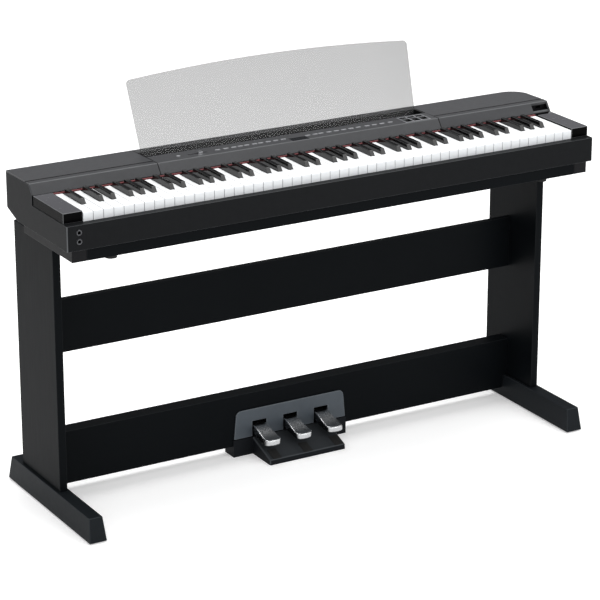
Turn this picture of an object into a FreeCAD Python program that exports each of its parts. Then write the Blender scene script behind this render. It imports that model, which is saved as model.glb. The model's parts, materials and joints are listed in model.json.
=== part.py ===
import FreeCAD, Part
import math
import os
import re

import Sketcher

# Slab digital piano with 88 keys on a panel stand with a three-pedal unit.
# Frame: X runs along the keyboard (bass end at -X), -Y is the player's side, +Z is up.
# The origin is on the floor, at the centre of the object's footprint. All sizes are in millimetres.

doc = FreeCAD.newDocument("digital_piano")
sheet = doc.addObject("Spreadsheet::Sheet", "sizes")

SIZES = {
    # stand
    "stand_top": 622.0, "foot_height": 56.5, "pad_thick": 2.5, "pad_radius": 11.0, "pad_inset": 22.0,
    "leg_thick": 18.0, "leg_shift": 6.4, "leg_front_y": -40.7, "leg_rear_y": 151.7,
    "foot_top_width": 31.4, "foot_base_width": 41.0, "foot_top_length": 396.0, "foot_base_length": 416.6,
    "foot_gap": 0.5,
    "upper_board_thick": 15.0, "upper_board_front_y": 65.0, "upper_board_share": 0.535,
    "upper_board_high": 121.7,
    "lower_board_thick": 38.0, "lower_board_front_y": 61.0, "lower_board_low_z": 25.6,
    "lower_board_high": 123.4,
    "bracket_thick": 3.0, "bracket_leg": 45.0, "bracket_width": 56.0, "bracket_drop": 50.0,
    "bracket_y": 20.0, "knob_radius": 11.0, "knob_high": 13.0,
    "lock_radius": 7.5, "lock_high": 1.5, "lock_inset": 34.0,
    # piano case
    "case_margin": 46.5, "wall": 3.0, "base_high": 26.3, "rail_high": 54.6, "rail_depth": 18.4,
    "rail_front_y": -182.7, "rear_y": 119.5, "top_rise": 44.6, "rear_drop": 2.0,
    "key_well": 164.7, "slope_rise": 23.1, "ridge_run": 16.0,
    "bass_corner_radius": 8.0, "treble_corner_radius": 48.0, "rail_corner": 3.0,
    "heel_rise": 20.0, "heel_run": 58.0,
    "base_set_back": 4.7, "base_rear_in": 60.5, "cap_inset": 12.5, "base_seam": 0.6,
    "rubber_radius": 13.0, "rubber_high": 12.0, "rubber_in": 69.0, "rubber_front_in": 31.0,
    "rubber_rear_in": 14.0, "cover_inset": 1.5, "module_half": 355.4, "module_gap": 1.2,
    "groove_run": 18.0, "cover_groove": 2.4,
    # keyboard
    "white_pitch": 23.5, "key_gap": 0.9, "key_rise": 19.1, "key_front_gap": 0.9,
    "white_head": 49.4, "head_high": 23.0, "tail_high": 15.0, "pivot_run": 43.0, "key_tail": 5.0,
    "black_base": 10.8, "black_top": 9.0, "black_slot": 12.4, "black_rise": 11.5,
    "black_set_back": 50.4, "black_rake": 7.0, "black_gap": 12.0,
    "rod_radius": 2.0, "rod_drop": 0.4, "key_travel": 11.0,
    "felt_show": 5.5, "felt_depth": 9.0, "felt_thick": 1.8, "felt_gap": 0.4,
    "cheek_rear_gap": 0.6, "cheek_gap": 0.5, "cheek_high": 23.0, "cheek_dip": 8.0,
    # small clearances, lips and places
    "panel_lip": 3.0, "panel_thick": 2.0, "out_left_x": 60.0, "out_right_x": 85.0,
    "pedal_socket_x": -60.0, "power_socket_x": -100.0, "socket_long": 16.0, "socket_deep": 12.0,
    "data_x": 14.0, "data_half": 6.0, "data_deep": 4.0, "data_half_high": 5.5, "cone_high": 22.0,
    "rim_drop": 4.0, "rim_lip": 5.0, "rim_thick": 3.0, "magnet_drop": 40.0, "magnet_high": 15.0,
    "usb_ease": 0.2, "usb_lip": 1.0, "usb_top_gap": 0.5, "usb_tray_thick": 2.0, "usb_slot_low": 6.0,
    "usb_trim": 2.0, "dip_lean": 7.0, "dip_deep": 12.0, "pocket_rim": 1.5, "frame_side_gap": 1.0,
    "frame_front_gap": 2.0, "front_shelf_run": 52.0, "back_shelf_run": 4.0, "board_lip": 2.0,
    "volume_stem_half": 1.5, "volume_stem_gap": 0.8, "volume_cap_half": 5.0, "volume_cap_deep": 4.5,
    "volume_cap_gap": 0.4, "volume_cap_high": 4.0, "eq_plate": 1.2, "eq_knob_lift": 0.4,
    "eq_slit_in": 3.0, "keybed_ease": 0.2, "screw_in": 15.0, "notch_ease": 0.5, "grip_shift": 3.0,
    "over": 1.0, "plan_over": 20.0, "ledge_thick": 2.0,
    "circuit_half": 150.0, "chip_pitch": 45.0, "chip_start": 100.0, "chip_long": 24.0, "chip_high": 4.0,
    "post_x": 140.0, "post_wide": 6.0, "post_pitch": 24.0, "post_high": 4.0,
    # control panel
    "recess_run": 52.0, "recess_wide": 42.0, "recess_deep": 12.5, "recess_half": 351.0,
    "rest_half_base": 349.5, "rest_half_top": 358.0, "rest_thick": 3.5, "rest_long": 171.0,
    "rest_arch": 14.0, "rest_corner": 11.0, "rest_tilt": 18.5, "rest_foot_gap": 0.3, "rest_back_gap": 0.6,
    "button_long": 13.0, "button_wide": 5.2, "button_proud": 1.3, "button_gap": 0.3,
    "button_deep": 5.0, "button_run": 23.0, "power_x": -294.0, "power_radius": 4.2,
    "volume_x": -247.0, "volume_slot": 48.0, "volume_slot_wide": 4.0, "volume_knob_x": -242.0,
    "eq_x": 306.0, "eq_run": 24.0, "eq_long": 66.0, "eq_wide": 42.0, "eq_rim": 2.4, "eq_proud": 0.8,
    "eq_floor": 6.0, "eq_knob_shift": 4.0, "eq_knob_depth": 6.0, "eq_knob_high": 5.6,
    "eq_knob_side_gap": 1.2, "eq_slit": 2.4, "stem_radius": 0.8,
    "display_half": 21.0, "display_run": 1.0, "display_deep": 22.0, "display_thick": 1.0,
    "display_proud": 0.2,
    # sockets
    "jack_in": 27.8, "jack_drop": 16.0, "jack_pitch": 19.5, "jack_bore": 3.25, "jack_collar": 6.5,
    "jack_long": 26.0, "jack_proud": 0.6, "jack_clear": 0.1,
    "usb_in": 25.5, "usb_half": 22.0, "usb_slot_long": 12.6, "usb_slot_high": 5.2, "usb_slot_deep": 12.0,
    "usb_deep": 16.0,
    "panel_half": 130.0, "panel_rise": 27.7, "panel_high": 30.0, "panel_recess": 8.0,
    # inside
    "frame_thick": 2.0, "riser_thick": 8.0, "beam_depth": 12.0, "beam_in": 14.0, "beam_gap": 0.6,
    "contact_drop": 38.0, "shelf_thick": 6.0,
    "board_thick": 1.6, "board_depth": 32.0, "speaker_in": 106.0, "speaker_back": 49.5,
    "speaker_radius": 36.0, "screw_radius": 3.5, "screw_high": 1.2,
    # pedal unit
    "unit_x": 4.0, "unit_half": 149.0, "cover_thick": 4.0, "unit_base_z": 41.0, "unit_wall": 3.0,
    "cover_low_z": 43.0, "cover_top_z": 110.0, "cover_low_half": 147.0, "cover_top_half": 141.0,
    "cover_corner": 14.0, "notch_half": 136.0, "notch_top_z": 104.0,
    "heel_half": 99.5, "heel_reach": 82.0, "heel_lip_z": 12.0, "heel_lip_run": 2.0, "heel_round": 3.5,
    "pedal_pitch": 81.5, "pedal_slot": 37.0, "pedal_slot_top_z": 80.0,
    "pedal_root_width": 33.6, "pedal_tip_width": 41.0, "pedal_reach": 72.0, "pedal_tip_low_z": 42.0,
    "pedal_tip_thick": 14.5, "pedal_root_top_z": 71.0, "pedal_root_low_z": 48.0,
    "pedal_corner": 12.0, "pedal_nose": 1.0,
    "axle_run": 29.0, "axle_z": 58.0, "axle_radius": 3.0, "axle_clear": 0.06, "boss_radius": 8.0,
    "spring_run": 13.0, "spring_radius": 6.0, "spring_wire": 0.9, "spring_turns": 6.0,
    "grip_wide": 22.0, "grip_deep": 30.0, "grip_run": 1.0, "grip_thick": 0.8,
}

# Places that follow from the sizes, each written once.
PLACES = {
    "keys_half": "26 * white_pitch",
    "case_half": "keys_half + case_margin",
    "cover_half": "case_half - cover_inset",
    "base_cap_half": "case_half - cap_inset",
    "leg_centre_x": "keys_half + leg_shift",
    "rubber_x": "keys_half - rubber_in",
    "speaker_x": "keys_half - speaker_in",
    "jack_x": "jack_in - case_half",
    "usb_x": "case_half - usb_in",
    "rail_low_z": "stand_top + base_high",
    "rail_top_z": "rail_low_z + rail_high",
    "slope_foot_z": "rail_top_z + slope_rise",
    "top_z": "rail_top_z + top_rise",
    "white_top_z": "rail_top_z + key_rise",
    "jack_high_z": "rail_top_z - jack_drop",
    "panel_low_z": "rail_low_z + panel_rise",
    "upper_board_low_z": "stand_top * upper_board_share",
    "slope_foot_y": "rail_front_y + key_well",
    "ridge_y": "slope_foot_y + ridge_run",
    "cover_groove_y": "ridge_y + groove_run",
    "base_board_front_y": "rail_front_y + base_set_back",
    "base_board_rear_y": "rear_y - base_rear_in",
    "rubber_front_y": "base_board_front_y + rubber_front_in",
    "rubber_rear_y": "base_board_rear_y - rubber_rear_in",
    "white_front_y": "rail_front_y + rail_depth + key_front_gap",
    "pivot_y": "slope_foot_y + pivot_run",
    "key_rear_y": "pivot_y + key_tail",
    "black_front_y": "white_front_y + black_set_back",
    "black_back_y": "slope_foot_y - black_gap",
    "felt_front_y": "slope_foot_y - felt_show",
    "recess_front_y": "ridge_y + recess_run",
    "recess_rear_y": "recess_front_y + recess_wide",
    "button_y": "ridge_y + button_run",
    "eq_y": "ridge_y + eq_run",
    "eq_knob_y": "eq_y + eq_knob_shift",
    "display_low_y": "ridge_y + display_run",
    "speaker_y": "rear_y - speaker_back",
    "unit_front_y": "lower_board_front_y - cover_thick",
    "heel_front_y": "unit_front_y - heel_reach",
    "heel_lip_y": "heel_front_y + heel_lip_run",
    "pedal_tip_y": "unit_front_y - pedal_reach",
    "axle_y": "unit_front_y + axle_run",
    "spring_y": "unit_front_y + spring_run",
    "grip_y": "heel_lip_y + grip_run",
}

row = 0
for alias, amount in SIZES.items():
    row += 1
    sheet.set("A%d" % row, alias)
    sheet.set("B%d" % row, str(amount))
    sheet.setAlias("B%d" % row, alias)
doc.recompute()

PLANE_ROLE = {"XY": "XY_Plane", "XZ": "XZ_Plane", "YZ": "YZ_Plane"}
sub_parts = []


def spelled(text, lead):
    """A text of names with every place written out in sizes, each size after the lead."""
    def swap(word):
        name = word.group(0)
        return "(%s)" % spelled(PLACES[name], lead) if name in PLACES else lead + name

    return re.sub(r"[a-z][a-z_]+", swap, str(text))


def formula(text):
    """The expression that a property is bound to."""
    return spelled(text, "sizes.")


def size(text):
    """The number that a name, or a text of names, works out to."""
    return float(sheet.evalExpression(spelled(text, "")))


def bind(thing, prop, text):
    thing.setExpression(prop, formula(text))


def keep(thing, label):
    """Marks an object as a sub-part: its label is the name of its file."""
    thing.Label = label
    sub_parts.append(thing)
    return thing


def box(name, x_span, y_span, z_span):
    """A block between two formulas along each axis."""
    block = doc.addObject("Part::Box", name)
    spans = (("Length", "x", x_span), ("Width", "y", y_span), ("Height", "z", z_span))
    for prop, axis, (low, high) in spans:
        bind(block, prop, "(%s) - (%s)" % (high, low))
        bind(block, "Placement.Base." + axis, low)
    return block


def rod(name, axis, start, radius, length):
    """A cylinder along +X, +Y or +Z from its start point."""
    turn = {"X": ((0, 1, 0), 90), "Y": ((1, 0, 0), -90), "Z": ((0, 0, 1), 0)}[axis]
    bar = doc.addObject("Part::Cylinder", name)
    bar.Placement.Rotation = FreeCAD.Rotation(FreeCAD.Vector(*turn[0]), turn[1])
    bind(bar, "Radius", radius)
    bind(bar, "Height", length)
    for letter, place in zip("xyz", start):
        bind(bar, "Placement.Base." + letter, place)
    return bar


def outline(body, plane, points, start):
    """A closed sketch of straight sides whose corners are held at formulas."""
    sketch = body.newObject("Sketcher::SketchObject", body.Name + "_sketch")
    role = PLANE_ROLE[plane]
    support = [item for item in body.Origin.OriginFeatures if item.Role == role][0]
    sketch.AttachmentSupport = (support, [""])
    sketch.MapMode = "FlatFace"
    bind(sketch, "AttachmentOffset.Base.z", start)
    corners = [FreeCAD.Vector(size(across), size(up), 0) for across, up in points]
    count = len(corners)
    for index in range(count):
        side = Part.LineSegment(corners[index], corners[(index + 1) % count])
        sketch.addGeometry(side, False)
    for index in range(count):
        sketch.addConstraint(Sketcher.Constraint("Coincident", index, 2, (index + 1) % count, 1))
    for index, (across, up) in enumerate(points):
        for kind, text, value in (("DistanceX", across, corners[index].x), ("DistanceY", up, corners[index].y)):
            number = sketch.addConstraint(Sketcher.Constraint(kind, -1, 1, index, 1, value))
            sketch.setExpression("Constraints[%d]" % number, formula(text))
    return sketch


def prism(name, plane, points, start, end):
    """A PartDesign body: an outline of formulas padded from start to end."""
    body = doc.addObject("PartDesign::Body", name)
    sketch = outline(body, plane, points, start)
    pad = body.newObject("PartDesign::Pad", name + "_pad")
    pad.Profile = sketch
    bind(pad, "Length", "(%s) - (%s)" % (end, start))
    body.Tip = pad
    sketch.Visibility = False
    return body


def rounded(body, wanted, radius):
    """Rounds the edges of a body's tip that pass the test."""
    doc.recompute()
    sharp = body.Tip
    names = ["Edge%d" % (index + 1) for index, edge in enumerate(sharp.Shape.Edges) if wanted(edge)]
    fillet = body.newObject("PartDesign::Fillet", "%s_round_%d" % (body.Name, len(body.Group)))
    fillet.Base = (sharp, names)
    bind(fillet, "Radius", radius)
    body.Tip = fillet
    return body


def upright_edge(edge):
    low, high = edge.Vertexes[0].Point, edge.Vertexes[-1].Point
    return abs(low.x - high.x) < 0.01 and abs(low.y - high.y) < 0.01


def cut(name, base, tools):
    """The base with every tool taken away."""
    tool = tools[0] if len(tools) == 1 else fuse(name + "_tools", tools)
    result = doc.addObject("Part::Cut", name)
    result.Base = base
    result.Tool = tool
    return result


def fuse(name, pieces):
    result = doc.addObject("Part::MultiFuse", name)
    result.Shapes = pieces
    return result


def common(name, pieces):
    result = doc.addObject("Part::MultiCommon", name)
    result.Shapes = pieces
    return result


def group(name, pieces):
    """Separate solids that make one sub-part."""
    result = doc.addObject("Part::Compound", name)
    result.Links = pieces
    return result


def made(name, shape):
    """A sub-part whose shape comes from Part's functions."""
    thing = doc.addObject("Part::Feature", name)
    thing.Shape = shape
    thing.Placement = FreeCAD.Placement()
    return thing


def mirrored(side, inner, outer):
    """The X span of a piece at the bass (-1) or treble (+1) end."""
    return (inner, outer) if side > 0 else ("-(%s)" % outer, "-(%s)" % inner)


ENDS = (("left", -1), ("right", 1))


# ---------------------------------------------------------------- stand
def make_stand():
    for word, side in ENDS:
        legs = mirrored(side, "leg_centre_x - leg_thick / 2", "leg_centre_x + leg_thick / 2")
        keep(box(word + "_leg_panel", legs, ("leg_front_y", "leg_rear_y"), ("foot_height", "stand_top")),
             word + "_leg_panel")
        foot = doc.addObject("Part::Wedge", word + "_foot")
        foot.Placement.Rotation = FreeCAD.Rotation(FreeCAD.Vector(1, 0, 0), 90)
        for prop, text in (("Xmin", "-foot_base_width / 2"), ("Xmax", "foot_base_width / 2"),
                           ("X2min", "-foot_top_width / 2"), ("X2max", "foot_top_width / 2"),
                           ("Zmin", "-foot_base_length / 2"), ("Zmax", "foot_base_length / 2"),
                           ("Z2min", "-foot_top_length / 2"), ("Z2max", "foot_top_length / 2"),
                           ("Ymin", "pad_thick"), ("Ymax", "foot_height")):
            bind(foot, prop, text)
        bind(foot, "Placement.Base.x", "%d * leg_centre_x" % side)
        keep(foot, word + "_foot")

    inner = "leg_centre_x - leg_thick / 2"
    across = ("-(%s)" % inner, inner)
    keep(box("upper_cross_board", across,
             ("upper_board_front_y", "upper_board_front_y + upper_board_thick"),
             ("upper_board_low_z", "upper_board_low_z + upper_board_high")), "upper_cross_board")
    plank = box("lower_plank", across,
                ("lower_board_front_y", "lower_board_front_y + lower_board_thick"),
                ("lower_board_low_z", "lower_board_low_z + lower_board_high"))
    notch = box("lower_notch", ("unit_x - notch_half", "unit_x + notch_half"),
                ("lower_board_front_y - over", "lower_board_front_y + lower_board_thick + over"),
                ("lower_board_low_z - over", "notch_top_z"))
    reliefs = [box("foot_relief_" + word,
                   mirrored(side, "leg_centre_x - foot_base_width / 2 - foot_gap", "leg_centre_x"),
                   ("lower_board_front_y - over", "lower_board_front_y + lower_board_thick + over"),
                   ("lower_board_low_z - over", "foot_height")) for word, side in ENDS]
    keep(cut("lower_cross_board", plank, [notch] + reliefs), "lower_cross_board")

    pads = []
    for word, side in ENDS:
        for spot, place in (("front", "-(foot_base_length / 2 - pad_inset)"), ("mid", "0 * pad_inset"),
                            ("rear", "foot_base_length / 2 - pad_inset")):
            pads.append(rod("pad_%s_%s" % (word, spot), "Z", ("%d * leg_centre_x" % side, place, "0"),
                            "pad_radius", "pad_thick"))
    keep(group("foot_pads", pads), "foot_pads")

    brackets, knobs = [], []
    for word, side in ENDS:
        reach = mirrored(side, inner + " - bracket_leg", inner)
        plate = mirrored(side, inner + " - bracket_thick", inner)
        depth = ("bracket_y - bracket_width / 2", "bracket_y + bracket_width / 2")
        brackets.append(fuse("bracket_" + word, [
            box("bracket_flange_" + word, reach, depth, ("stand_top - bracket_thick", "stand_top")),
            box("bracket_plate_" + word, plate, depth, ("stand_top - bracket_drop", "stand_top"))]))
        for spot, shift in (("front", "-bracket_width / 4"), ("rear", "bracket_width / 4")):
            start = inner + " - bracket_thick"
            head = ("-(%s)" % start) if side < 0 else start + " - knob_high"
            height = "stand_top - bracket_drop + knob_radius * 1.4"
            lane = "bracket_y + (%s)" % shift
            knobs.append(rod("side_knob_%s_%s" % (word, spot), "X", (head, lane, height),
                             "knob_radius", "knob_high"))
    keep(group("leg_brackets", brackets), "leg_brackets")
    keep(group("mounting_knobs", knobs), "mounting_knobs")

    locks = []
    for word, side in ENDS:
        for board, lane, heights in (
                ("upper", "upper_board_front_y + upper_board_thick",
                 ("upper_board_low_z + 0.25 * upper_board_high",
                  "upper_board_low_z + 0.75 * upper_board_high")),
                ("lower", "lower_board_front_y + lower_board_thick",
                 ("lower_board_low_z + 0.42 * lower_board_high",
                  "lower_board_low_z + 0.8 * lower_board_high"))):
            for order, height in enumerate(heights):
                locks.append(rod("lock_%s_%s_%d" % (word, board, order), "Y",
                                 ("%d * (leg_centre_x - leg_thick / 2 - lock_inset)" % side, lane, height),
                                 "lock_radius", "lock_high"))
    keep(group("board_locks", locks), "board_locks")


# ---------------------------------------------------------------- pedal unit
def make_pedal_unit():
    left, right = "unit_x - unit_half", "unit_x + unit_half"
    back = "lower_board_front_y + lower_board_thick"
    shell = box("unit_block", (left, right), ("unit_front_y", back), ("0", "unit_base_z"))
    hollow = box("unit_hollow", (left + " + unit_wall", right + " - unit_wall"),
                 ("unit_front_y + unit_wall", back + " - unit_wall"), ("unit_wall", "unit_base_z + over"))
    board_bed = box("unit_bed", (left + " - over", "unit_x - notch_half"),
                    ("lower_board_front_y", back + " + over"),
                    ("lower_board_low_z", "unit_base_z + over"))
    board_bed_two = box("unit_bed_two", ("unit_x + notch_half", right + " + over"),
                        ("lower_board_front_y", back + " + over"),
                        ("lower_board_low_z", "unit_base_z + over"))
    tray = cut("unit_tray", shell, [hollow, board_bed, board_bed_two])
    wall_low = "unit_base_z - over"
    rear_wall = box("unit_rear_wall", ("unit_x - notch_half + notch_ease",
                                       "unit_x + notch_half - notch_ease"),
                    (back + " - unit_wall", back), ("unit_wall", "notch_top_z - over"))
    cheeks = []
    for word, side in ENDS:
        edge = "unit_x + %d * (notch_half - notch_ease)" % side
        inside = "unit_x + %d * (notch_half - notch_ease - unit_wall)" % side
        span = (inside, edge) if side > 0 else (edge, inside)
        cheeks.append(box("unit_cheek_" + word, span, ("lower_board_front_y + notch_ease", back),
                          ("unit_wall", "notch_top_z - over")))
    ramp = prism("heel_ramp", "YZ", [("heel_front_y", "0"), ("heel_lip_y", "heel_lip_z"),
                                     ("unit_front_y", "unit_base_z"), ("unit_front_y", "0")],
                 "unit_x - heel_half", "unit_x + heel_half")
    back_y = size("unit_front_y") - 0.01

    def free_edge(edge):
        """An edge of the ramp that lies neither on the floor nor against the base."""
        ends = [vertex.Point for vertex in edge.Vertexes]
        return not (all(end.z < 0.01 for end in ends) or all(end.y > back_y for end in ends))

    rounded(ramp, free_edge, "heel_round")
    keep(fuse("pedal_base", [tray, rear_wall, ramp] + cheeks), "pedal_base")

    plate = prism("cover_plate", "XZ", [("unit_x - cover_low_half", "cover_low_z"),
                                        ("unit_x + cover_low_half", "cover_low_z"),
                                        ("unit_x + cover_top_half", "cover_top_z"),
                                        ("unit_x - cover_top_half", "cover_top_z")],
                  "-(lower_board_front_y)", "-(unit_front_y)")
    high = size("cover_top_z") - 1

    def top_corner(edge):
        return (all(vertex.Point.z > high for vertex in edge.Vertexes)
                and abs(edge.Vertexes[0].Point.x - edge.Vertexes[-1].Point.x) < 0.01)

    rounded(plate, top_corner, "cover_corner")
    slots = []
    for order in (-1, 0, 1):
        centre = "unit_x + %d * pedal_pitch" % order
        slots.append(box("slot_%d" % (order + 1),
                         (centre + " - pedal_slot / 2", centre + " + pedal_slot / 2"),
                         ("unit_front_y - over", "lower_board_front_y + over"),
                         ("cover_low_z - over", "pedal_slot_top_z")))
    keep(cut("pedal_cover", plate, slots), "pedal_cover")

    for order, word in ((-1, "left"), (0, "middle"), (1, "right")):
        lever = pedal_shape(size("unit_x") + order * size("pedal_pitch"))
        keep(made(word + "_pedal", lever), word + "_pedal")

    keep(rod("pedal_axle", "X", ("unit_x - notch_half + notch_ease + unit_wall", "axle_y", "axle_z"),
             "axle_radius", "2 * (notch_half - notch_ease - unit_wall)"), "pedal_axle")
    springs = [spring_shape(size("unit_x") + order * size("pedal_pitch")) for order in (-1, 0, 1)]
    keep(made("pedal_springs", Part.makeCompound(springs)), "pedal_springs")

    grips = []
    rise = "(unit_base_z - heel_lip_z) / (unit_front_y - heel_lip_y)"
    low = "heel_lip_z + (grip_y - heel_lip_y) * " + rise
    high_end = "heel_lip_z + (grip_y + grip_deep - heel_lip_y) * " + rise
    for order in (-1, 0, 1):
        centre = "unit_x + %d * pedal_pitch + grip_shift" % order
        grips.append(prism("grip_%d" % (order + 1), "YZ",
                           [("grip_y", low), ("grip_y", low + " + grip_thick"),
                            ("grip_y + grip_deep", high_end + " + grip_thick"),
                            ("grip_y + grip_deep", high_end)],
                           centre + " - grip_wide / 2", centre + " + grip_wide / 2"))
    keep(group("heel_grip_pads", grips), "heel_grip_pads")


def pedal_shape(centre_x):
    """A cast pedal: a dropped lever with a rounded tip and a bored boss at its root."""
    tip_y, front_y = size("pedal_tip_y"), size("unit_front_y")
    low_z, thick = size("pedal_tip_low_z"), size("pedal_tip_thick")
    axle_y, axle_z, boss = size("axle_y"), size("axle_z"), size("boss_radius")
    root_top, root_low = size("pedal_root_top_z"), size("pedal_root_low_z")
    vector = FreeCAD.Vector
    tip_top = vector(0, tip_y, low_z + thick - 1.5)
    reach = front_y - tip_y
    top = Part.BSplineCurve()
    top.interpolate([tip_top, vector(0, tip_y + 0.28 * reach, low_z + thick + 0.5),
                     vector(0, tip_y + 0.62 * reach, low_z + thick + 7.0), vector(0, front_y, root_top)])
    behind = axle_y + boss
    sides = [top.toShape(),
             Part.makeLine(vector(0, front_y, root_top), vector(0, behind, axle_z + boss)),
             Part.makeLine(vector(0, behind, axle_z + boss), vector(0, behind, axle_z - boss)),
             Part.makeLine(vector(0, behind, axle_z - boss), vector(0, front_y, root_low)),
             Part.makeLine(vector(0, front_y, root_low), vector(0, tip_y + 0.35 * reach, low_z)),
             Part.makeLine(vector(0, tip_y + 0.35 * reach, low_z), vector(0, tip_y, low_z)),
             Part.makeLine(vector(0, tip_y, low_z), tip_top)]
    wide = size("pedal_tip_width")
    profile = Part.Face(Part.Wire(sides))
    slab = profile.extrude(vector(wide + 2, 0, 0))
    slab.translate(vector(centre_x - wide / 2 - 1, 0, 0))

    half_tip, half_root = wide / 2, size("pedal_root_width") / 2
    shoulder_y = tip_y + 0.30 * reach
    corner, nose = size("pedal_corner"), size("pedal_nose")
    bend = corner * (1 - math.sqrt(0.5))
    side_y = tip_y + nose + corner
    plan_points = {
        "nose": vector(centre_x, tip_y, 0),
        "nose_left": vector(centre_x - half_tip + corner, tip_y + nose, 0),
        "nose_right": vector(centre_x + half_tip - corner, tip_y + nose, 0),
        "left": vector(centre_x - half_tip, side_y, 0),
        "right": vector(centre_x + half_tip, side_y, 0),
        "left_mid": vector(centre_x - half_tip + bend, tip_y + nose + bend, 0),
        "right_mid": vector(centre_x + half_tip - bend, tip_y + nose + bend, 0),
        "left_shoulder": vector(centre_x - half_tip + 0.6, shoulder_y, 0),
        "right_shoulder": vector(centre_x + half_tip - 0.6, shoulder_y, 0),
        "left_root": vector(centre_x - half_root, front_y - 2, 0),
        "right_root": vector(centre_x + half_root, front_y - 2, 0),
        "left_end": vector(centre_x - half_root, behind + 1, 0),
        "right_end": vector(centre_x + half_root, behind + 1, 0),
    }
    spot = plan_points
    rim = [Part.Arc(spot["nose_left"], spot["nose"], spot["nose_right"]).toShape(),
           Part.Arc(spot["nose_right"], spot["right_mid"], spot["right"]).toShape(),
           Part.makeLine(spot["right"], spot["right_shoulder"]),
           Part.makeLine(spot["right_shoulder"], spot["right_root"]),
           Part.makeLine(spot["right_root"], spot["right_end"]),
           Part.makeLine(spot["right_end"], spot["left_end"]),
           Part.makeLine(spot["left_end"], spot["left_root"]),
           Part.makeLine(spot["left_root"], spot["left_shoulder"]),
           Part.makeLine(spot["left_shoulder"], spot["left"]),
           Part.Arc(spot["left"], spot["left_mid"], spot["nose_left"]).toShape()]
    plan = Part.Face(Part.Wire(rim)).extrude(vector(0, 0, 200))
    lever = slab.common(plan)
    bore = Part.makeCylinder(size("axle_radius") + size("axle_clear"), wide + 4,
                             vector(centre_x - wide / 2 - 2, axle_y, axle_z), vector(1, 0, 0))
    return lever.cut(bore).Solids[0]


def spring_shape(centre_x):
    """A compression spring between the unit's floor and the pedal."""
    low = size("unit_wall") + size("spring_wire") + 0.3
    high = size("pedal_root_low_z") - size("spring_wire") - 0.6
    radius, wire = size("spring_radius"), size("spring_wire")
    helix = Part.makeHelix((high - low) / size("spring_turns"), high - low, radius)
    ring = Part.Wire(Part.makeCircle(wire, FreeCAD.Vector(radius, 0, 0), FreeCAD.Vector(0, 1, 0)))
    coil = Part.Wire(helix).makePipeShell([ring], True, True)
    coil.translate(FreeCAD.Vector(centre_x, size("spring_y"), low))
    return coil


# ---------------------------------------------------------------- piano case
def round_rear_corners(plan, less):
    """Rounds the rear corners: tight at the bass end, wide at the treble end."""
    for side, radius in ((-1, "bass_corner_radius"), (1, "treble_corner_radius")):
        rounded(plan, lambda edge: upright_edge(edge) and edge.Vertexes[0].Point.y > 0
                and edge.Vertexes[0].Point.x * side > 0, radius + less)
    return plan


def case_plan():
    """The case seen from above: square at the player's side, rounded at the rear corners."""
    plan = prism("case_plan", "XY", [("-(case_half)", "rail_front_y"), ("case_half", "rail_front_y"),
                                     ("case_half", "rear_y"), ("-(case_half)", "rear_y")],
                 "stand_top", "top_z + plan_over")
    round_rear_corners(plan, "")
    return rounded(plan, lambda edge: upright_edge(edge)
                   and edge.Vertexes[0].Point.y < size("rail_front_y") + 1, "rail_corner")


def cavity_plan():
    """The same outline one wall further in."""
    plan = prism("cavity_plan", "XY", [("-(case_half) + wall", "rail_front_y + wall"),
                                       ("case_half - wall", "rail_front_y + wall"),
                                       ("case_half - wall", "rear_y - wall"),
                                       ("-(case_half) + wall", "rear_y - wall")],
                 "stand_top", "top_z + plan_over")
    return round_rear_corners(plan, " - wall")


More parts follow.
